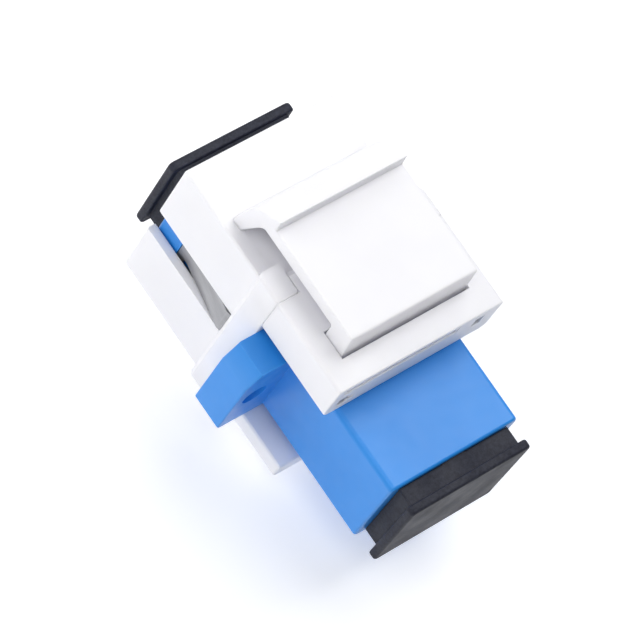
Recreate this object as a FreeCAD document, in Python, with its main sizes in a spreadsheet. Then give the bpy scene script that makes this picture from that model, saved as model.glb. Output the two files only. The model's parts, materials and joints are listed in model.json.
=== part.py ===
import FreeCAD, Part
import Sketcher
import os
import re

# Keystone coupler for SC fibre connectors.
# Row frame: X across the housing, Y along the fibre axis (front of the panel
# towards -Y), Z up to the latch side.  Origin on the fibre axis, in the plane
# where the adapter's flange seats on the rear of the panel wall.
# All lengths in millimetres.

os.makedirs("parts", exist_ok=True)
doc = FreeCAD.newDocument("sc_fibre_adapter")

# ---------------------------------------------------------------- dimensions
TABLE = [
    # adapter
    ("cy", 1.6, "middle of the flange along Y"),
    ("halfLen", 14.35, "half length of the adapter"),
    ("bodyW", 13.0, "adapter width"),
    ("bodyH", 9.3, "adapter height"),
    ("flangeT", 3.2, "flange thickness"),
    ("earX", 11.0, "half span over the flange"),
    ("earCutX", 0.97, "flange corner cut, across"),
    ("earCutZ", 1.95, "flange corner cut, down"),
    ("screwX", 9.0, "flange hole from the middle"),
    ("screwR", 1.15, "flange hole radius"),
    ("portW", 9.1, "port width"),
    ("portH", 7.44, "port height"),
    ("webT", 1.6, "middle web thickness"),
    ("webR", 2.4, "middle web bore radius"),
    ("keyW", 2.7, "key groove width"),
    ("keyD", 0.53, "key groove depth"),
    ("keyL", 9.0, "key groove length"),
    ("snapX", 4.85, "insert pocket reach"),
    # spring clip
    ("clipT", 0.28, "clip sheet thickness"),
    ("clipY", -10.1, "clip front edge"),
    ("clipEnd", -2.95, "clip rear edge"),
    ("clipLow", -3.2, "clip side lower edge"),
    ("wingZa", -1.62, "wing lower edge"),
    ("wingZb", 1.25, "wing upper edge"),
    ("wingX", 7.55, "wing tip, outer face"),
    # front frame
    ("frameW", 14.86, "front part width"),
    ("frameH", 16.56, "front part height"),
    ("frontY", -13.0, "front face"),
    ("wallT", 2.75, "panel wall thickness"),
    ("wallW", 16.6, "panel wall width"),
    ("wallTop", 9.9, "panel wall top"),
    ("sideT", 0.78, "side wall thickness"),
    ("deckT", 0.98, "top and bottom thickness"),
    ("faceT", 1.2, "front face thickness"),
    ("bossZ", 6.85, "underside of the latch root boss"),
    ("slotZa", -1.75, "side slot lower edge"),
    ("slotZb", 1.40, "side slot upper edge"),
    ("fitGap", 0.15, "gap round the adapter"),
    ("deckDip", 0.15, "sunk field under the latch"),
    ("notchW", 12.4, "notch in the panel wall"),
    ("hookZ", -9.9, "fixed hook lower face"),
    ("hookW", 10.0, "fixed hook width"),
    ("catchY", -4.4, "catch face"),
    ("stopY", 2.0, "rear end of the rear stop"),
    ("floorTop", -6.05, "rear floor upper face"),
    ("floorLow", -7.75, "rear floor lower face"),
    ("floorW", 15.3, "rear floor width"),
    ("floorY", 8.1, "rear floor end"),
    # rear cover
    ("coverY", 8.4, "cover rear face"),
    ("coverLow", 5.4, "cover skirt lower edge"),
    ("coverT", 1.0, "cover wall thickness"),
    ("ceilT", 1.3, "cover ceiling thickness"),
    ("tongueW", 12.24, "tongue width"),
    ("tongueY", -1.9, "tongue front"),
    ("tongueZ", 8.35, "tongue underside"),
    ("pegX", 7.45, "peg from the middle"),
    ("pegZ", 7.4, "peg height"),
    ("pegR", 0.55, "peg radius"),
    ("pegL", 1.8, "peg length"),
    ("lipGap", 0.07, "gap beside the latch lip"),
    ("lipRear", 0.18, "gap behind the latch lip"),
    # latch
    ("tabW", 12.68, "latch width"),
    ("rootY", -7.4, "latch root, along"),
    ("rootZ", 8.1, "latch root, height"),
    ("rootR", 0.45, "latch root radius"),
    ("rootRun", 0.05, "root running gap"),
    ("tabTop", 12.57, "latch plate upper face"),
    ("tabLow", 11.3, "latch plate lower face"),
    ("ridgeZ", 13.92, "catch ridge before rounding"),
    ("creaseY", -6.9, "ramp start, along"),
    ("creaseZ", 12.12, "ramp start, height"),
    ("lipY", 3.75, "lip front"),
    ("lipEnd", 5.95, "lip rear, at its foot"),
    ("lipTop", 5.8, "lip rear, at the top"),
    ("lipZ", 8.75, "lip lower face"),
    # inserts
    ("plateT", 1.5, "insert base thickness"),
    ("tubeR", 2.3, "sleeve holder radius"),
    ("tubeL", 6.9, "sleeve holder end from the middle"),
    ("boreR", 1.7, "sleeve holder bore"),
    ("boreL", 5.75, "bore depth from the middle"),
    ("mouthR", 1.42, "holder mouth radius"),
    ("armXa", 2.9, "hook arm inner face"),
    ("armXb", 3.55, "hook arm outer face"),
    ("armZ", 1.5, "half width of a hook arm"),
    ("armL", 10.5, "hook arm end from the middle"),
    # sleeve
    ("sleeveR", 1.6, "sleeve outer radius"),
    ("sleeveB", 1.25, "sleeve bore radius"),
    ("sleeveL", 11.4, "sleeve length"),
    ("slitW", 0.5, "sleeve slit"),
    # dust caps
    ("capX", 6.1, "cap flange half width"),
    ("capZb", 4.6, "cap flange top"),
    ("capZa", -5.0, "cap flange bottom"),
    ("capIn", 15.95, "cap flange inner face from the middle"),
    ("capT", 0.8, "cap flange thickness"),
    ("blockX", 5.55, "cap block half width"),
    ("blockZ", 4.1, "cap block half height"),
    ("capGap", 0.02, "gap to the adapter end"),
    ("plugX", 4.45, "cap plug half width"),
    ("plugZ", 3.6, "cap plug half height"),
    ("plugT", 0.62, "cap plug wall"),
    ("plugEnd", 7.0, "cap plug end from the middle"),
    ("plugFloor", 10.7, "cap plug hollow end from the middle"),
]
dims = doc.addObject("Spreadsheet::Sheet", "dims")
for row, (alias, value, note) in enumerate(TABLE, start=1):
    dims.set("A%d" % row, note)
    dims.set("B%d" % row, str(value))
    dims.setAlias("B%d" % row, alias)
doc.recompute()
NAMES = sorted([t[0] for t in TABLE], key=len, reverse=True)
WORD = re.compile(r"\b(" + "|".join(NAMES) + r")\b")


def ex(text):
    """Dimension names become references to the sheet."""
    return WORD.sub(lambda m: "dims." + m.group(1), str(text))


# ------------------------------------------------------------------- helpers
def new_body(name):
    body = doc.addObject("PartDesign::Body", name)
    body.Label = name
    body.Placement = FreeCAD.Placement()
    return body


def origin_plane(body, role):
    for feature in body.Origin.OriginFeatures:
        if feature.Role == role:
            return feature
    raise RuntimeError("no plane " + role)


def add_box(body, name, x0, x1, y0, y1, z0, z1, cut=False):
    kind = "PartDesign::SubtractiveBox" if cut else "PartDesign::AdditiveBox"
    box = body.newObject(kind, name)
    box.setExpression("Length", ex("(%s) - (%s)" % (x1, x0)))
    box.setExpression("Width", ex("(%s) - (%s)" % (y1, y0)))
    box.setExpression("Height", ex("(%s) - (%s)" % (z1, z0)))
    box.setExpression("Placement.Base.x", ex(x0))
    box.setExpression("Placement.Base.y", ex(y0))
    box.setExpression("Placement.Base.z", ex(z0))
    doc.recompute()
    return box


def add_rod(body, name, radius, length, x, y, z, along, cut=False):
    kind = "PartDesign::SubtractiveCylinder" if cut else "PartDesign::AdditiveCylinder"
    rod = body.newObject(kind, name)
    turn = {"X": FreeCAD.Rotation(FreeCAD.Vector(0, 1, 0), 90),
            "Y": FreeCAD.Rotation(FreeCAD.Vector(1, 0, 0), -90),
            "Z": FreeCAD.Rotation()}[along]
    rod.Placement = FreeCAD.Placement(FreeCAD.Vector(0, 0, 0), turn)
    rod.setExpression("Radius", ex(radius))
    rod.setExpression("Height", ex(length))
    rod.setExpression("Placement.Base.x", ex(x))
    rod.setExpression("Placement.Base.y", ex(y))
    rod.setExpression("Placement.Base.z", ex(z))
    doc.recompute()
    return rod


def outline(body, role, name, points, offset="0"):
    """A closed outline whose corners are held by sheet dimensions."""
    sketch = body.newObject("Sketcher::SketchObject", name)
    sketch.AttachmentSupport = [(origin_plane(body, role), "")]
    sketch.MapMode = "FlatFace"
    sketch.setExpression("AttachmentOffset.Base.z", ex(offset))
    doc.recompute()
    values = []
    cell = "Z1"
    for px, py in points:
        pair = []
        for text in (px, py):
            dims.set(cell, "=" + str(text))
            dims.recompute()
            pair.append(float(dims.get(cell)))
        values.append(pair)
    dims.clear(cell)
    count = len(points)
    for i in range(count):
        a = values[i]
        b = values[(i + 1) % count]
        sketch.addGeometry(Part.LineSegment(FreeCAD.Vector(a[0], a[1], 0),
                                            FreeCAD.Vector(b[0], b[1], 0)), False)
    for i in range(count):
        sketch.addConstraint(Sketcher.Constraint("Coincident", i, 2, (i + 1) % count, 1))
    for i, (px, py) in enumerate(points):
        k = sketch.addConstraint(Sketcher.Constraint("DistanceX", -1, 1, i, 1, values[i][0]))
        sketch.setExpression("Constraints[%d]" % k, ex(px))
        k = sketch.addConstraint(Sketcher.Constraint("DistanceY", -1, 1, i, 1, values[i][1]))
        sketch.setExpression("Constraints[%d]" % k, ex(py))
    doc.recompute()
    return sketch


def raise_outline(body, sketch, name, length, cut=False, reverse=False):
    pad = body.newObject("PartDesign::Pocket" if cut else "PartDesign::Pad", name)
    pad.Profile = sketch
    pad.setExpression("Length", ex(length))
    pad.Reversed = reverse
    doc.recompute()
    sketch.Visibility = False
    return pad


def soften(body, name, size, pick, chamfer=False):
    """Fillet or chamfer every edge of the tip whose ends satisfy pick."""
    tip = body.Tip
    chosen = []
    for n, edge in enumerate(tip.Shape.Edges, start=1):
        if len(edge.Vertexes) != 2:
            continue
        a = edge.Vertexes[0].Point
        b = edge.Vertexes[1].Point
        if pick(a, b):
            chosen.append("Edge%d" % n)
    if not chosen:
        raise RuntimeError("no edge for " + name)
    kind = "PartDesign::Chamfer" if chamfer else "PartDesign::Fillet"
    feature = body.newObject(kind, name)
    feature.Base = (tip, chosen)
    if chamfer:
        feature.Size = size
    else:
        feature.Radius = size
    doc.recompute()
    if "Invalid" in feature.State or "Error" in feature.State or feature.Shape.isNull():
        raise RuntimeError("edge work failed: " + name)
    return feature


def near(value, target, tol=0.02):
    return abs(value - target) < tol


def both(a, b, axis, target, tol=0.02):
    return near(getattr(a, axis), target, tol) and near(getattr(b, axis), target, tol)


def runs(a, b, axis):
    """True for a straight run along one axis."""
    rest = [t for t in "xyz" if t != axis]
    return (abs(getattr(a, axis) - getattr(b, axis)) > 0.3
            and all(abs(getattr(a, t) - getattr(b, t)) < 0.01 for t in rest))


bodies = []

# -------------------------------------------------------------- adapter body
body = new_body("adapter_body")
bodies.append(body)
add_box(body, "sleeve_block", "-bodyW/2", "bodyW/2", "cy-halfLen", "cy+halfLen",
        "-bodyH/2", "bodyH/2")
soften(body, "long_edges", 0.5, lambda a, b: runs(a, b, "y"))
soften(body, "end_edges", 0.28,
       lambda a, b: both(a, b, "y", 1.6 + 14.35) or both(a, b, "y", 1.6 - 14.35))
flange = outline(body, "XZ_Plane", "flange_outline", [
    ("-(earX)", "-bodyH/2"), ("earX", "-bodyH/2"), ("earX", "bodyH/2-earCutZ"),
    ("earX-earCutX", "bodyH/2"), ("-(earX-earCutX)", "bodyH/2"),
    ("-(earX)", "bodyH/2-earCutZ")], offset="-(cy+flangeT/2)")
raise_outline(body, flange, "flange", "flangeT")
soften(body, "flange_corners", 0.3,
       lambda a, b: runs(a, b, "y") and abs(abs(a.x) - 11.0) < 0.02 and near(a.z, -4.65))
soften(body, "flange_rims", 0.15,
       lambda a, b: (both(a, b, "y", 0.0) or both(a, b, "y", 3.2))
       and abs(a.x) > 6.9 and abs(b.x) > 6.9)
for side, sign in (("rear", ""), ("front", "-")):
    y_in = "cy%swebT/2" % ("+" if side == "rear" else "-")
    y_out = "cy%s(halfLen+1)" % ("+" if side == "rear" else "-")
    lo, hi = (y_in, y_out) if side == "rear" else (y_out, y_in)
    add_box(body, side + "_port", "-portW/2", "portW/2", lo, hi, "-portH/2", "portH/2", cut=True)
    k_in = "cy%s(halfLen-keyL)" % ("+" if side == "rear" else "-")
    lo, hi = (k_in, y_out) if side == "rear" else (y_out, k_in)
    add_box(body, side + "_key", "-keyW/2", "keyW/2", lo, hi, "portH/2-0.2", "portH/2+keyD", cut=True)
    s_in = "cy%s(webT/2+0.4)" % ("+" if side == "rear" else "-")
    s_out = "cy%s(webT/2+1.2)" % ("+" if side == "rear" else "-")
    lo, hi = (s_in, s_out) if side == "rear" else (s_out, s_in)
    add_box(body, side + "_snap", "-snapX", "snapX", lo, hi, "-1.1", "1.1", cut=True)
add_rod(body, "web_bore", "webR", "webT+2", "0", "cy-webT/2-1", "0", "Y", cut=True)
for tag, sx in (("right", ""), ("left", "-")):
    add_rod(body, "screw_hole_" + tag, "screwR", "flangeT+2", sx + "(screwX)",
            "cy-flangeT/2-1", "0", "Y", cut=True)
# seat of the spring clip, sunk into the top and both sides
add_box(body, "clip_seat_top", "-bodyW/2-1", "bodyW/2+1", "clipY-0.05", "-wallT",
        "bodyH/2-clipT-0.04", "bodyH/2+1", cut=True)
for tag, x0, x1 in (("right", "bodyW/2-clipT-0.04", "bodyW/2+1"),
                    ("left", "-(bodyW/2+1)", "-(bodyW/2-clipT-0.04)")):
    add_box(body, "clip_seat_" + tag, x0, x1, "clipY-0.05", "-wallT",
            "clipLow-0.05", "bodyH/2+1", cut=True)
for tag, x0, x1 in (("right", "bodyW/2-0.9", "bodyW/2+1"),
                    ("left", "-(bodyW/2+1)", "-(bodyW/2-0.9)")):
    add_box(body, "wing_pocket_" + tag, x0, x1, "clipY+0.8", "-wallT",
            "-2.55", "2.0", cut=True)

# --------------------------------------------------------------- spring clip
clip = new_body("retaining_clip")
bodies.append(clip)
add_box(clip, "bridge", "-(bodyW/2-0.02)", "bodyW/2-0.02", "clipY", "clipEnd",
        "clipLow", "bodyH/2-0.02")
soften(clip, "bridge_bends", 0.4,
       lambda a, b: runs(a, b, "y") and near(a.z, 4.63))
add_box(clip, "bridge_inside", "-(bodyW/2-0.02-clipT)", "bodyW/2-0.02-clipT", "clipY-1",
        "clipEnd+1", "clipLow-1", "bodyH/2-0.02-clipT", cut=True)
add_box(clip, "side_windows", "-bodyW", "bodyW", "clipY+0.8", "clipEnd+1", "wingZa-0.1",
        "wingZb+0.12", cut=True)
add_box(clip, "root_relief", "-bodyW", "bodyW", "clipY+0.8", "clipY+1.9", "wingZa-0.7",
        "wingZb+0.5", cut=True)
for tag, s in (("right", ""), ("left", "-")):
    wing = outline(clip, "XY_Plane", "wing_outline_" + tag, [
        (s + "(bodyW/2-0.02-clipT)", "clipY+0.7"), (s + "(bodyW/2-0.02)", "clipY+0.7"),
        (s + "(bodyW/2-0.02)", "clipY+1.2"), (s + "(wingX)", "clipEnd-0.4"),
        (s + "(wingX-0.07)", "clipEnd"), (s + "(wingX-0.07-clipT)", "clipEnd"),
        (s + "(wingX-clipT)", "clipEnd-0.4"),
        (s + "(bodyW/2-0.02-clipT)", "clipY+1.2")], offset="wingZa")
    raise_outline(clip, wing, "wing_" + tag, "wingZb-wingZa")

# --------------------------------------------------------------- front frame
frame = new_body("front_frame")
bodies.append(frame)
add_box(frame, "front_block", "-frameW/2", "frameW/2", "frontY", "-wallT+0.5",
        "-frameH/2", "frameH/2")
soften(frame, "front_long_edges", 0.22, lambda a, b: runs(a, b, "y"))
soften(frame, "front_rim", 0.2, lambda a, b: both(a, b, "y", -13.0))
add_box(frame, "panel_wall", "-wallW/2", "wallW/2", "-wallT", "0", "-frameH/2", "wallTop")
soften(frame, "wall_bevel", 0.42,
       lambda a, b: both(a, b, "y", -2.75) and near(abs(a.x), 8.3) and near(abs(b.x), 8.3)
       and abs(a.z - b.z) > 3, chamfer=True)
soften(frame, "wall_side_edges", 0.3,
       lambda a, b: abs(a.y - b.y) > 1.5 and near(abs(a.x), 8.3) and near(abs(b.x), 8.3)
       and near(a.z, b.z, 0.01))
soften(frame, "wall_seam", 0.06, lambda a, b: both(a, b, "y", 0.0), chamfer=True)
add_box(frame, "rear_floor", "-floorW/2", "floorW/2", "-0.5", "floorY", "floorLow", "floorTop")
soften(frame, "floor_edges", 0.25,
       lambda a, b: (both(a, b, "y", 8.1) or (runs(a, b, "y") and near(abs(a.x), 7.65)
                                              and a.z < -6.0 and max(a.y, b.y) > 7)))
hook = outline(frame, "YZ_Plane", "hook_outline", [
    ("catchY-3.2", "-frameH/2+0.3"), ("catchY-3.2", "-frameH/2"), ("catchY-0.9", "hookZ"),
    ("catchY", "hookZ"), ("catchY", "-frameH/2+0.3")], offset="-hookW/2")
raise_outline(frame, hook, "fixed_hook", "hookW")
add_box(frame, "rear_stop", "-hookW/2", "hookW/2", "-wallT", "stopY", "hookZ", "-7.0")
# hollow inside, front opening and passage through the wall
add_box(frame, "inside", "-(frameW/2-sideT)", "frameW/2-sideT", "frontY+faceT", "-wallT",
        "-(frameH/2-deckT)", "frameH/2-deckT", cut=True)
add_box(frame, "passage", "-(bodyW/2+fitGap)", "bodyW/2+fitGap", "frontY-1", "1",
        "-(bodyH/2+0.1)", "bodyH/2+0.1", cut=True)
for tag, x0, x1 in (("right", "bodyW/2-1", "wallW/2+1"), ("left", "-(wallW/2+1)", "-(bodyW/2-1)")):
    add_box(frame, "side_slot_" + tag, x0, x1, "frontY-1", "-wallT", "slotZa", "slotZb", cut=True)
add_box(frame, "root_boss", "-(tabW/2+0.2)", "tabW/2+0.2", "rootY-1.0", "rootY+1.0",
        "bossZ", "frameH/2-deckT+0.2")
add_box(frame, "latch_field", "-(notchW/2-0.05)", "notchW/2-0.05", "rootY+0.75", "-wallT+0.01",
        "frameH/2-deckDip", "frameH/2+1", cut=True)
add_box(frame, "wall_notch", "-notchW/2", "notchW/2", "-wallT-0.01", "1", "frameH/2-deckDip",
        "wallTop+1", cut=True)
soften(frame, "horn_corners", 0.35,
       lambda a, b: runs(a, b, "z") and near(abs(a.x), 6.2) and near(a.y, 0.0)
       and max(a.z, b.z) > 9.5)
add_rod(frame, "root_seat", "rootR+rootRun", "tabW+0.1", "-(tabW/2+0.05)", "rootY", "rootZ",
        "X", cut=True)
for tag, s in (("right", ""), ("left", "-")):
    add_rod(frame, "peg_hole_" + tag, "pegR+0.04", "pegL+1.1", s + "(pegX)", "-(pegL+0.1)",
            "pegZ", "Y", cut=True)

# ---------------------------------------------------------------- rear cover
cover = new_body("rear_cover")
bodies.append(cover)
add_box(cover, "cover_block", "-wallW/2", "wallW/2", "0", "coverY", "coverLow", "wallTop")
soften(cover, "skirt_corners", 0.7, lambda a, b: runs(a, b, "y") and near(a.z, 5.4))
soften(cover, "top_side_edges", 0.3, lambda a, b: runs(a, b, "y") and near(a.z, 9.9))
soften(cover, "rear_rim", 0.12, lambda a, b: both(a, b, "y", 8.4))
soften(cover, "cover_seam", 0.06, lambda a, b: both(a, b, "y", 0.0), chamfer=True)
add_box(cover, "cover_inside", "-(wallW/2-coverT)", "wallW/2-coverT", "-1", "coverY-coverT",
        "coverLow-1", "wallTop-ceilT", cut=True)
add_box(cover, "tongue", "-tongueW/2", "tongueW/2", "tongueY", "0.5", "tongueZ", "wallTop")
add_box(cover, "tongue_root", "-tongueW/2", "tongueW/2", "0", "1.2", "tongueZ", "wallTop-0.2")
soften(cover, "tongue_front", 0.45,
       lambda a, b: both(a, b, "y", -1.9) and both(a, b, "z", 9.9), chamfer=True)
soften(cover, "tongue_corners", 0.25,
       lambda a, b: runs(a, b, "z") and near(abs(a.x), 6.12) and near(a.y, 0.0)
       and max(a.z, b.z) > 9.5)
add_box(cover, "lip_slot", "-(tabW/2+lipGap)", "tabW/2+lipGap", "lipY-0.15",
        "lipEnd+lipRear", "wallTop-ceilT-0.5", "wallTop+1", cut=True)
# slot and two windows in the rear wall, each behind a thin lip
add_box(cover, "rear_slot", "-4.0", "7.4", "coverY-0.3", "coverY+1", "8.55", "9.45", cut=True)
add_box(cover, "rear_slot_well", "-4.0", "7.4", "coverY-0.8", "coverY-0.14", "8.0", "9.45", cut=True)
add_box(cover, "window_right", "6.4", "7.4", "coverY-0.3", "coverY+1", "6.3", "7.7", cut=True)
add_box(cover, "window_right_tail", "5.85", "6.45", "coverY-0.3", "coverY+1", "6.7", "7.35", cut=True)
add_box(cover, "window_right_well", "5.8", "7.5", "coverY-coverT-0.2", "coverY-0.14", "5.9", "7.75", cut=True)
add_box(cover, "window_left", "-6.7", "-5.8", "coverY-0.3", "coverY+1", "7.6", "9.0", cut=True)
add_box(cover, "window_left_well", "-6.9", "-5.6", "coverY-coverT-0.2", "coverY-0.14", "7.2", "9.0", cut=True)
for tag, s in (("right", ""), ("left", "-")):
    add_rod(cover, "peg_" + tag, "pegR", "pegL+0.6", s + "(pegX)", "-pegL", "pegZ", "Y")

# ----------------------------------------------------------------- latch tab
tab = new_body("latch_tab")
bodies.append(tab)
profile = outline(tab, "YZ_Plane", "latch_profile", [
    ("rootY-0.45", "rootZ+0.3"), ("rootY-0.42", "rootZ+0.75"), ("rootY-0.2", "rootZ+1.75"),
    ("rootY+0.1", "rootZ+2.95"), ("creaseY", "creaseZ"), ("catchY-0.03", "ridgeZ"),
    ("catchY+0.02", "tabTop"), ("lipTop", "tabTop"), ("lipEnd", "lipZ"), ("lipY", "lipZ"),
    ("lipY", "tabLow"), ("catchY-0.9", "tabLow"), ("catchY-1.25", "tabLow-0.4"),
    ("catchY-1.85", "tabLow-1.8"), ("rootY+0.45", "rootZ+0.3")], offset="-tabW/2")
raise_outline(tab, profile, "latch_strip", "tabW")
soften(tab, "rear_edge", 0.25,
       lambda a, b: runs(a, b, "x") and near(a.y, 5.8) and near(a.z, 12.57))
soften(tab, "ridge_edge", 0.12,
       lambda a, b: runs(a, b, "x") and near(a.y, -4.43) and near(a.z, 13.92))
add_rod(tab, "root_barrel", "rootR", "tabW", "-tabW/2", "rootY", "rootZ", "X")

# ------------------------------------------------------------- latch inserts
def insert(name, sign):
    part = new_body(name)
    bodies.append(part)

    def span(a, b):
        """Two distances from the middle, given as a low and a high Y."""
        if sign > 0:
            return "cy+(%s)" % a, "cy+(%s)" % b
        return "cy-(%s)" % b, "cy-(%s)" % a

    lo, hi = span("webT/2", "webT/2+plateT")
    add_box(part, "base_plate", "-(portW/2-0.06)", "portW/2-0.06", lo, hi,
            "-(portH/2-0.06)", "portH/2-0.06")
    lo, hi = span("webT/2+0.5", "webT/2+1.1")
    add_box(part, "snap_nubs", "-(snapX-0.1)", "snapX-0.1", lo, hi, "-1.0", "1.0")
    lo, hi = span("0.02", "tubeL")
    add_rod(part, "holder", "tubeR", "tubeL-0.02", "0", lo, "0", "Y")
    for tag, s in (("right", ""), ("left", "-")):
        x0, x1 = ("armXa", "armXb") if s == "" else ("-(armXb)", "-(armXa)")
        lo, hi = span("webT/2+plateT-0.2", "armL")
        add_box(part, "arm_" + tag, x0, x1, lo, hi, "-armZ", "armZ")
        q = "" if sign > 0 else "-"
        head = outline(part, "XY_Plane", "head_outline_" + tag, [
            (s + "(armXa+0.1)", "cy%s(armL-1.5)" % ("+" if sign > 0 else "-")),
            (s + "(armXa-0.5)", "cy%s(armL-1.4)" % ("+" if sign > 0 else "-")),
            (s + "(armXa-0.5)", "cy%s(armL-0.8)" % ("+" if sign > 0 else "-")),
            (s + "(armXa+0.1)", "cy%s(armL)" % ("+" if sign > 0 else "-"))], offset="-armZ")
        raise_outline(part, head, "head_" + tag, "2*armZ")
    lo, hi = span("-1", "boreL")
    add_rod(part, "sleeve_bore", "boreR", "boreL+1", "0", lo, "0", "Y", cut=True)
    lo, hi = span("boreL-1", "tubeL+1")
    add_rod(part, "mouth", "mouthR", "tubeL+2-boreL", "0", lo, "0", "Y", cut=True)
    return part


insert("latch_insert_rear", 1)
insert("latch_insert_front", -1)

# -------------------------------------------------------------- split sleeve
sleeve = new_body("split_sleeve")
bodies.append(sleeve)
add_rod(sleeve, "tube", "sleeveR", "sleeveL", "0", "cy-sleeveL/2", "0", "Y")
add_rod(sleeve, "bore", "sleeveB", "sleeveL+2", "0", "cy-sleeveL/2-1", "0", "Y", cut=True)
add_box(sleeve, "slit", "-slitW/2", "slitW/2", "cy-sleeveL/2-1", "cy+sleeveL/2+1", "0",
        "sleeveR+1", cut=True)


# ----------------------------------------------------------------- dust caps
def cap(name, sign):
    part = new_body(name)
    bodies.append(part)

    def span(a, b):
        if sign > 0:
            return "cy+(%s)" % a, "cy+(%s)" % b
        return "cy-(%s)" % b, "cy-(%s)" % a

    lo, hi = span("capIn", "capIn+capT")
    add_box(part, "cap_flange", "-(capX)", "capX", lo, hi, "capZa", "capZb")
    soften(part, "flange_corners", 0.5, lambda a, b: runs(a, b, "y"))
    outer, inner = 1.6 + sign * (15.95 + 0.8), 1.6 + sign * 15.95
    soften(part, "flange_rim", 0.25, lambda a, b: both(a, b, "y", outer))
    soften(part, "flange_back_rim", 0.18, lambda a, b: both(a, b, "y", inner))
    lo, hi = span("halfLen+capGap", "capIn+0.2")
    add_box(part, "cap_block", "-(blockX)", "blockX", lo, hi, "-(blockZ)", "blockZ")
    lo, hi = span("plugEnd", "halfLen+capGap+0.3")
    add_box(part, "cap_plug", "-(plugX)", "plugX", lo, hi, "-(plugZ)", "plugZ")
    lo, hi = span("halfLen-5", "halfLen+capGap+0.3")
    add_box(part, "cap_key", "-(keyW/2-0.15)", "keyW/2-0.15", lo, hi, "plugZ-0.2", "portH/2+keyD-0.15")
    lo, hi = span("plugEnd-1", "plugFloor")
    add_box(part, "plug_hollow", "-(plugX-plugT)", "plugX-plugT", lo, hi,
            "-(plugZ-plugT)", "plugZ-plugT", cut=True)
    return part


cap("dust_cap_rear", 1)
cap("dust_cap_front", -1)

# -------------------------------------------------------------------- output
doc.recompute()
for obj in doc.Objects:
    state = list(getattr(obj, "State", []))
    if "Invalid" in state or "Error" in state:
        raise RuntimeError("bad state: %s %s" % (obj.Name, state))
for part in bodies:
    shape = part.Shape
    if shape.isNull() or not shape.isValid():
        raise RuntimeError("bad shape: " + part.Label)
    if len(shape.Solids) != 1:
        raise RuntimeError("%s has %d solids" % (part.Label, len(shape.Solids)))
    shape.exportStep("parts/%s.step" % part.Label)
    bb = shape.BoundBox
    print("%-20s vol %9.2f  x %.2f..%.2f  y %.2f..%.2f  z %.2f..%.2f" % (
        part.Label, shape.Volume, bb.XMin, bb.XMax, bb.YMin, bb.YMax, bb.ZMin, bb.ZMax))
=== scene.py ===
import json
import math

import bmesh
import bpy
from mathutils import Matrix, Vector
from mathutils.geometry import tessellate_polygon


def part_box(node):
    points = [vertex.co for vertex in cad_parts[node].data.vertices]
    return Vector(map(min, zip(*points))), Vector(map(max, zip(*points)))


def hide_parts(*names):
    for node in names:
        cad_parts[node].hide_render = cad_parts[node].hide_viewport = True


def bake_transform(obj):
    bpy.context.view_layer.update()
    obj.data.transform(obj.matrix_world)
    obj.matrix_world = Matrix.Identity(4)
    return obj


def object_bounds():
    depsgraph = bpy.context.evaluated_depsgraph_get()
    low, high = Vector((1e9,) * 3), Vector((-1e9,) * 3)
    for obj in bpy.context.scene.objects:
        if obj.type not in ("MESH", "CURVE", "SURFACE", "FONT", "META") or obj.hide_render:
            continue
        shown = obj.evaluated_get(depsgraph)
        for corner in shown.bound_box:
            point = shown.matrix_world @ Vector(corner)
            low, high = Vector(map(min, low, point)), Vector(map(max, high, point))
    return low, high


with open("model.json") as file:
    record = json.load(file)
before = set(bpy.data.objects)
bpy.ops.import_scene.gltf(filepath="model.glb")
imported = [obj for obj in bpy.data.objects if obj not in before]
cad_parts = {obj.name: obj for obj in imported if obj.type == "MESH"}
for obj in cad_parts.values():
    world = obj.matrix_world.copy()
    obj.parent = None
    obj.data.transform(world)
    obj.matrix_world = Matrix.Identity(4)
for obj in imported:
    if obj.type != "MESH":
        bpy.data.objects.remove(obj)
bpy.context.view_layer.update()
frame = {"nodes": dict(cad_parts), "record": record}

MM = 0.001
scene = bpy.context.scene


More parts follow.
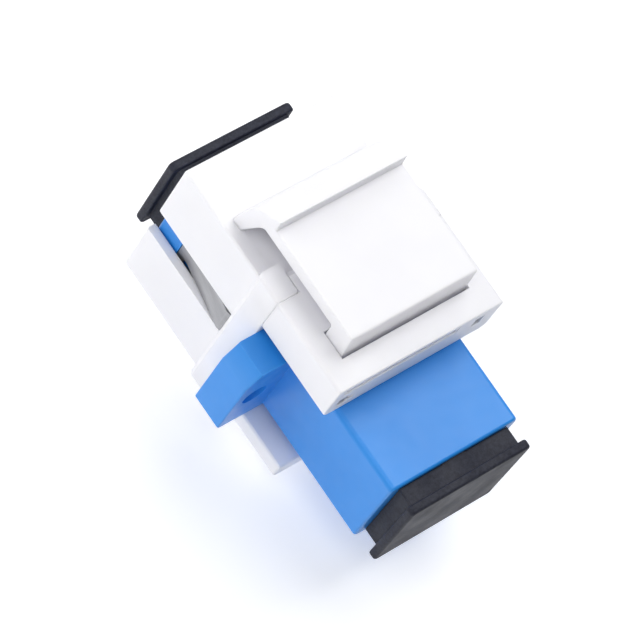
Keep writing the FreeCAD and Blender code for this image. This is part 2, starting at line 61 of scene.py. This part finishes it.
# ----------------------------------------------------------------- materials
class Mat:
    """A small wrapper that builds a node material."""

    def __init__(self, name):
        self.m = bpy.data.materials.new(name)
        self.m.use_nodes = True
        self.t = self.m.node_tree
        self.t.nodes.clear()
        self.out = self.t.nodes.new("ShaderNodeOutputMaterial")
        self.bsdf = self.t.nodes.new("ShaderNodeBsdfPrincipled")
        self.t.links.new(self.bsdf.outputs[0], self.out.inputs[0])
        self.co = self.t.nodes.new("ShaderNodeTexCoord").outputs["Object"]

    def link(self, a, b):
        self.t.links.new(a, b)

    def noise(self, scale, detail=4.0, rough=0.5, stretch=None):
        """Noise with its scale given in features per metre."""
        n = self.t.nodes.new("ShaderNodeTexNoise")
        n.inputs["Scale"].default_value = scale
        n.inputs["Detail"].default_value = detail
        n.inputs["Roughness"].default_value = rough
        src = self.co
        if stretch:
            mp = self.t.nodes.new("ShaderNodeMapping")
            mp.inputs["Scale"].default_value = stretch
            self.link(self.co, mp.inputs["Vector"])
            src = mp.outputs[0]
        self.link(src, n.inputs["Vector"])
        return n.outputs["Fac"]

    def spread(self, fac, lo, hi, a, b):
        """Map fac from lo..hi to a..b, clamped."""
        r = self.t.nodes.new("ShaderNodeMapRange")
        r.inputs["From Min"].default_value = lo
        r.inputs["From Max"].default_value = hi
        r.inputs["To Min"].default_value = a
        r.inputs["To Max"].default_value = b
        self.link(fac, r.inputs["Value"])
        return r.outputs["Result"]

    def mix(self, fac, a, b):
        n = self.t.nodes.new("ShaderNodeMix")
        n.data_type = "RGBA"
        for sock, value in ((n.inputs[6], a), (n.inputs[7], b)):
            if isinstance(value, tuple):
                sock.default_value = (*value, 1.0)
            else:
                self.link(value, sock)
        self.link(fac, n.inputs[0])
        return n.outputs[2]

    def painted_edge_highlight(self, radius=0.00016):
        """Mask of a painted highlight along edges: 0 on flats, towards 1 along edges, broken up by noise, found
        from the rounded normal so that it doesn't depend on the mesh's vertices.
        """
        g = self.t.nodes.new("ShaderNodeNewGeometry")
        b = self.t.nodes.new("ShaderNodeBevel")
        b.samples = 4
        b.inputs["Radius"].default_value = radius
        d = self.t.nodes.new("ShaderNodeVectorMath")
        d.operation = "DOT_PRODUCT"
        self.link(b.outputs[0], d.inputs[0])
        self.link(g.outputs["True Normal"], d.inputs[1])
        edge = self.spread(d.outputs["Value"], 0.99, 0.80, 0.0, 1.0)
        patchy = self.spread(self.noise(700, 4), 0.35, 0.65, 0.35, 1.0)
        m = self.t.nodes.new("ShaderNodeMath")
        m.operation = "MULTIPLY"
        self.link(edge, m.inputs[0])
        self.link(patchy, m.inputs[1])
        return m.outputs[0]

    def colour(self, value):
        if isinstance(value, tuple):
            self.bsdf.inputs["Base Color"].default_value = (*value, 1.0)
        else:
            self.link(value, self.bsdf.inputs["Base Color"])

    def rough(self, value):
        if isinstance(value, float):
            self.bsdf.inputs["Roughness"].default_value = value
        else:
            self.link(value, self.bsdf.inputs["Roughness"])

    def bump(self, layers):
        """layers: (height socket, distance in metres, strength)"""
        normal = None
        for height, distance, strength in layers:
            b = self.t.nodes.new("ShaderNodeBump")
            b.inputs["Strength"].default_value = strength
            b.inputs["Distance"].default_value = distance
            self.link(height, b.inputs["Height"])
            if normal is not None:
                self.link(normal, b.inputs["Normal"])
            normal = b.outputs["Normal"]
        self.link(normal, self.bsdf.inputs["Normal"])


def white_shell():
    m = Mat("white_shell_finish")
    broad = m.noise(160, 3)
    fine = m.noise(5200, 3)
    tone = m.mix(m.spread(broad, 0.35, 0.65, 0, 1), (0.904, 0.900, 0.948), (0.922, 0.918, 0.962))
    # a lighter white is mixed in along edges: painted edge highlight
    m.colour(m.mix(m.painted_edge_highlight(), tone, (0.95, 0.95, 0.965)))
    m.rough(m.spread(m.noise(900, 4), 0.3, 0.7, 0.44, 0.56))
    m.bump([(broad, 0.00003, 0.12), (fine, 0.000004, 0.25)])
    m.bsdf.inputs["IOR"].default_value = 1.5
    m.bsdf.inputs["Subsurface Weight"].default_value = 0.40
    m.bsdf.inputs["Subsurface Radius"].default_value = (0.0012, 0.0012, 0.0013)
    m.bsdf.inputs["Subsurface Scale"].default_value = 0.6
    return m.m


def blue_housing():
    m = Mat("blue_housing_finish")
    broad = m.noise(140, 3)
    fine = m.noise(4200, 3)
    tone = m.mix(m.spread(broad, 0.35, 0.65, 0, 1), (0.019, 0.256, 0.768), (0.029, 0.285, 0.822))
    # a lighter blue is mixed in along edges: painted edge highlight
    m.colour(m.mix(m.painted_edge_highlight(), tone, (0.070, 0.340, 0.850)))
    m.rough(m.spread(m.noise(800, 4), 0.3, 0.7, 0.30, 0.40))
    m.bump([(broad, 0.00003, 0.12), (fine, 0.000005, 0.3)])
    m.bsdf.inputs["IOR"].default_value = 1.45
    m.bsdf.inputs["Specular IOR Level"].default_value = 0.58
    return m.m


def dark_cap():
    m = Mat("dark_cap_finish")
    mottle = m.noise(3300, 6, 0.7)
    broad = m.noise(420, 4)
    tone = m.mix(m.spread(mottle, 0.35, 0.65, 0, 1), (0.0112, 0.0122, 0.0220), (0.0268, 0.0302, 0.0480))
    # a lighter grey is mixed in along edges: painted edge highlight
    m.colour(m.mix(m.painted_edge_highlight(), tone, (0.065, 0.067, 0.080)))
    m.rough(m.spread(broad, 0.3, 0.7, 0.50, 0.66))
    m.bump([(mottle, 0.000012, 0.40), (broad, 0.00004, 0.15)])
    m.bsdf.inputs["Specular IOR Level"].default_value = 0.28
    return m.m


def spring_steel():
    m = Mat("spring_steel_finish")
    grain = m.noise(900, 5, 0.6, stretch=(1.0, 0.06, 1.0))
    tone = m.mix(m.spread(grain, 0.3, 0.7, 0, 1), (0.30, 0.30, 0.31), (0.46, 0.46, 0.47))
    # a lighter steel grey is mixed in along edges: painted edge highlight
    m.colour(m.mix(m.painted_edge_highlight(), tone, (0.58, 0.58, 0.59)))
    m.rough(m.spread(grain, 0.3, 0.7, 0.28, 0.44))
    m.bump([(grain, 0.000004, 0.4)])
    m.bsdf.inputs["Metallic"].default_value = 1.0
    m.bsdf.inputs["Anisotropic"].default_value = 0.3
    return m.m


def insert_resin():
    m = Mat("insert_resin_finish")
    fine = m.noise(2600, 4)
    m.colour(m.mix(m.spread(fine, 0.3, 0.7, 0, 1), (0.62, 0.60, 0.52), (0.72, 0.70, 0.62)))
    m.rough(m.spread(fine, 0.3, 0.7, 0.42, 0.55))
    m.bump([(fine, 0.000008, 0.3)])
    return m.m


def zirconia():
    m = Mat("zirconia_finish")
    fine = m.noise(5000, 3, stretch=(1.0, 0.2, 1.0))
    m.colour(m.mix(m.spread(fine, 0.3, 0.7, 0, 1), (0.82, 0.81, 0.77), (0.88, 0.87, 0.84)))
    m.rough(m.spread(fine, 0.3, 0.7, 0.14, 0.22))
    m.bump([(fine, 0.000002, 0.3)])
    return m.m


FINISH = {"white_shell": white_shell(), "blue_housing": blue_housing(), "dark_cap": dark_cap(),
          "spring_steel": spring_steel(), "insert_resin": insert_resin(), "zirconia": zirconia()}
SLOT = {s["node"]: s["material_slot"] for s in frame["record"]["subparts"]}
# edge rounding in millimetres; running and hidden parts keep their size
ROUND = {"adapter_body": 0.08, "front_frame": 0.06, "rear_cover": 0.04, "latch_tab": 0.08,
         "dust_cap_front": 0.16, "dust_cap_rear": 0.16, "retaining_clip": 0.03,
         "latch_insert_front": 0.03, "latch_insert_rear": 0.03, "split_sleeve": 0.03}

for name, obj in frame["nodes"].items():
    obj.data.materials.clear()
    obj.data.materials.append(FINISH[SLOT[name]])
    weld = obj.modifiers.new("weld", "WELD")
    weld.merge_threshold = 0.000002
    if SLOT[name] != "dark_cap":
        # flats are joined first, or their thin triangles spoil the shading and hold the bevel back
        flats = obj.modifiers.new("flats", "DECIMATE")
        flats.decimate_type = "DISSOLVE"
        flats.angle_limit = math.radians(1.0)
    bevel = obj.modifiers.new("bevel", "BEVEL")
    bevel.width = ROUND[name] * MM
    bevel.segments = 2
    bevel.limit_method = "ANGLE"
    bevel.angle_limit = math.radians(38)
    bevel.use_clamp_overlap = True
    bevel.harden_normals = False
    bevel.face_strength_mode = "FSTR_ALL"
    for poly in obj.data.polygons:
        poly.use_smooth = True
    normals = obj.modifiers.new("normals", "WEIGHTED_NORMAL")
    normals.keep_sharp = False
    normals.use_face_influence = True

# --------------------------------------------------------------------- latch
def smooth_corner(a, b, c, radius, steps=5):
    """Points of a rounded corner at b on the way from a to c."""
    p, q = (a - b), (c - b)
    radius = min(radius, p.length * 0.45, q.length * 0.45)
    start, end = b + p.normalized() * radius, b + q.normalized() * radius
    out = []
    for i in range(steps + 1):
        t = i / steps
        out.append(start * (1 - t) ** 2 + b * (2 * t * (1 - t)) + end * t ** 2)
    return out


def split(points, step):
    """Points added so that no run is longer than step."""
    out = []
    for i, p in enumerate(points):
        q = points[(i + 1) % len(points)]
        n = max(1, math.ceil((q - p).length / step))
        out += [p.lerp(q, k / n) for k in range(n)]
    return out


# side profile (y, z, corner radius) in millimetres, from the root round the plate and the lip
LATCH = [(-8.22, 8.02, 0.0), (-7.86, 8.22, 0.30), (-7.82, 8.85, 0.5), (-7.6, 9.85, 0.8), (-7.3, 11.05, 0.8),
         (-6.9, 12.12, 0.35), (-4.43, 13.852, 0.12), (-4.38, 12.57, 0.10), (5.8, 12.57, 0.20),
         (5.95, 8.75, 0.15), (3.75, 8.75, 0.15), (3.75, 11.3, 0.3), (-5.25, 11.3, 0.7),
         (-5.65, 10.8, 0.5), (-6.25, 9.5, 0.6), (-6.85, 8.22, 0.35), (-6.40, 8.02, 0.0)]
corner = [Vector((0, y, z)) for y, z, r in LATCH]
loop = []
for i, (y, z, r) in enumerate(LATCH):
    if r:
        loop += smooth_corner(corner[i - 1], corner[i], corner[(i + 1) % len(corner)], r)
    else:
        loop.append(corner[i])
loop = split(loop, 0.45)
t_lo, t_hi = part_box("latch_tab")
half = t_hi.x / MM
rim = 0.12
latch_bm = bmesh.new()
middle = sum(loop, Vector()) / len(loop)


def runs_cross(points):
    """Numbers of the runs of a closed outline that cut another run."""
    n = len(points)
    found = set()

    def side(a, b, c):
        return (b.y - a.y) * (c.z - a.z) - (b.z - a.z) * (c.y - a.y)

    for i in range(n):
        a, b = points[i], points[(i + 1) % n]
        for j in range(i + 2, n):
            if i == 0 and j == n - 1:
                continue
            c, d = points[j], points[(j + 1) % n]
            if (side(a, b, c) > 0) != (side(a, b, d) > 0) and (side(c, d, a) > 0) != (side(c, d, b) > 0):
                found |= {i, j}
    return found


n_loop = len(loop)
area = sum(loop[i].y * loop[(i + 1) % n_loop].z - loop[(i + 1) % n_loop].y * loop[i].z for i in range(n_loop))
turn = 1.0 if area > 0 else -1.0
inward = []
for i in range(n_loop):
    d = loop[(i + 1) % n_loop] - loop[i - 1]
    inward.append(Vector((0, -d.z, d.y)).normalized() * turn)
# the rim is drawn in less where the profile is too thin or turns too tightly for it
reach = [rim] * n_loop
for attempt in range(200):
    inner = [loop[i] + inward[i] * reach[i] for i in range(n_loop)]
    bad = runs_cross(inner)
    for i in range(n_loop):
        j = (i + 1) % n_loop
        if (inner[j] - inner[i]).dot(loop[j] - loop[i]) < 0.25 * (loop[j] - loop[i]).length_squared:
            bad.add(i)
    if not bad:
        break
    for i in bad:
        for k in (i - 1, i, i + 1, i + 2):
            reach[k % n_loop] *= 0.92
else:
    raise RuntimeError("the latch rim still crosses itself")
# neighbours follow one another so that the rim has no steps
for attempt in range(6):
    reach = [min(reach[i], (reach[i - 1] + reach[i] + reach[(i + 1) % n_loop]) / 3 + 0.004) for i in range(n_loop)]


def shrunk(points, share):
    """The profile drawn in by a share of the rim."""
    return [p + inward[i] * reach[i] * share for i, p in enumerate(points)]


rings = []
for x, inset in ((-half, 1.0), (-half + rim * 0.08, 0.62), (-half + rim * 0.3, 0.3), (-half + rim * 0.62, 0.08),
                 (-half + rim, 0.0)):
    rings.append((x, inset))
rings += [(-half + rim + (2 * half - 2 * rim) * k / 8, 0.0) for k in range(1, 8)]
rings += [(-x, inset) for x, inset in reversed(rings[:5])]
made = []
for x, inset in rings:
    made.append([latch_bm.verts.new((x * MM, p.y * MM, p.z * MM)) for p in shrunk(loop, inset)])
for a, b in zip(made, made[1:]):
    for i in range(len(a)):
        j = (i + 1) % len(a)
        latch_bm.faces.new((a[i], a[j], b[j], b[i]))
# both ends are filled from one tessellation of the outline, which is concave
fill = tessellate_polygon([[Vector((p.y, p.z, 0)) for p in shrunk(loop, 1.0)]])
for tri in fill:
    latch_bm.faces.new([made[0][i] for i in tri])
    latch_bm.faces.new([made[-1][i] for i in reversed(tri)])
# the root spreads a little where it runs into the frame's top
for v in latch_bm.verts:
    rise = (v.co.z / MM - 8.15) / 0.5
    if rise < 1 and abs(v.co.x) > (half - 0.5) * MM:
        v.co.x += math.copysign(0.10 * MM * (1 - max(rise, 0)) ** 2, v.co.x)
bmesh.ops.recalc_face_normals(latch_bm, faces=latch_bm.faces)
if latch_bm.calc_volume(signed=True) < 0:
    bmesh.ops.reverse_faces(latch_bm, faces=latch_bm.faces)
for f in latch_bm.faces:
    f.smooth = abs(f.normal.x) < 0.97
latch_mesh = bpy.data.meshes.new("latch_moulding")
if any(len(e.link_faces) != 2 for e in latch_bm.edges):
    raise RuntimeError("the latch moulding isn't closed")
latch_bm.to_mesh(latch_mesh)
latch_bm.free()
latch_mesh.materials.append(FINISH["white_shell"])
latch = bpy.data.objects.new("latch_moulding", latch_mesh)
scene.collection.objects.link(latch)
latch_mesh.set_sharp_from_angle(angle=math.radians(28))
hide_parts("latch_tab")
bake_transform(latch)

# --------------------------------------------------------------------- stage
lo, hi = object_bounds()
floor_mesh = bpy.data.meshes.new("floor")
R = 1.2
floor_mesh.from_pydata([(-R, -R, 0), (R, -R, 0), (R, R, 0), (-R, R, 0)], [], [(0, 1, 2, 3)])
floor = bpy.data.objects.new("floor", floor_mesh)
floor.location = (0, 0, lo.z - 0.00002)
scene.collection.objects.link(floor)
paper = Mat("floor_finish")
paper.colour(paper.mix(paper.noise(60, 3), (0.93, 0.93, 0.935), (0.955, 0.955, 0.96)))
paper.rough(0.9)
paper.bsdf.inputs["Emission Color"].default_value = (0.97, 0.98, 1.0, 1)
paper.bsdf.inputs["Emission Strength"].default_value = 0.31
floor_mesh.materials.append(paper.m)

world = bpy.data.worlds.new("studio")
scene.world = world
world.use_nodes = True
bg = world.node_tree.nodes["Background"]
bg.inputs[0].default_value = (0.95, 0.97, 1.0, 1)
bg.inputs[1].default_value = 0.03


def softbox(name, place, target, size, power, tint=(1, 1, 1)):
    data = bpy.data.lights.new(name, "AREA")
    data.shape = "RECTANGLE"
    data.size, data.size_y = size
    data.energy = power
    data.color = tint
    light = bpy.data.objects.new(name, data)
    light.location = place
    light.rotation_mode = "QUATERNION"
    light.rotation_quaternion = (Vector(target) - Vector(place)).to_track_quat("-Z", "Y")
    scene.collection.objects.link(light)
    return light


softbox("side", (0.2404, -0.2404, 0.16), (0, 0, 0), (0.28, 0.28), 0.51)
softbox("fill", (0.32, 0.07, 0.09), (0, 0, 0.005), (0.20, 0.14), 0.10)
softbox("key", (-0.1674, -0.0295, 0.32), (0, 0, 0), (0.28, 0.28), 0.79)
softbox("far_side", (-0.2404, -0.2404, 0.16), (0, 0, 0), (0.28, 0.28), 0.315)
softbox("near_top", (0.1674, 0.0295, 0.32), (0, 0, 0), (0.28, 0.28), 0.376)
softbox("rear", (0.0581, 0.1597, 0.32), (0, 0, 0), (0.28, 0.28), 0.150)

# -------------------------------------------------------------------- camera
cam_data = bpy.data.cameras.new("camera")
cam_data.sensor_fit = "HORIZONTAL"
cam_data.sensor_width = 36.0
cam_data.lens = 256.875
cam_data.clip_start, cam_data.clip_end = 0.02, 10
camera = bpy.data.objects.new("camera", cam_data)
right = Vector((-0.76458669, 0.56197357, 0.31558342))
up = Vector((-0.42231202, -0.80670656, 0.41337282))
back = Vector((0.48688782, 0.18278468, 0.85412529))
pose = Matrix.Identity(4)
for column, axis in enumerate((right, up, back)):
    for row in range(3):
        pose[row][column] = axis[row]
pose[0][3], pose[1][3], pose[2][3] = 0.174372, 0.065841, 0.305135
camera.matrix_world = pose
scene.collection.objects.link(camera)
scene.camera = camera

scene.view_settings.view_transform = "Standard"
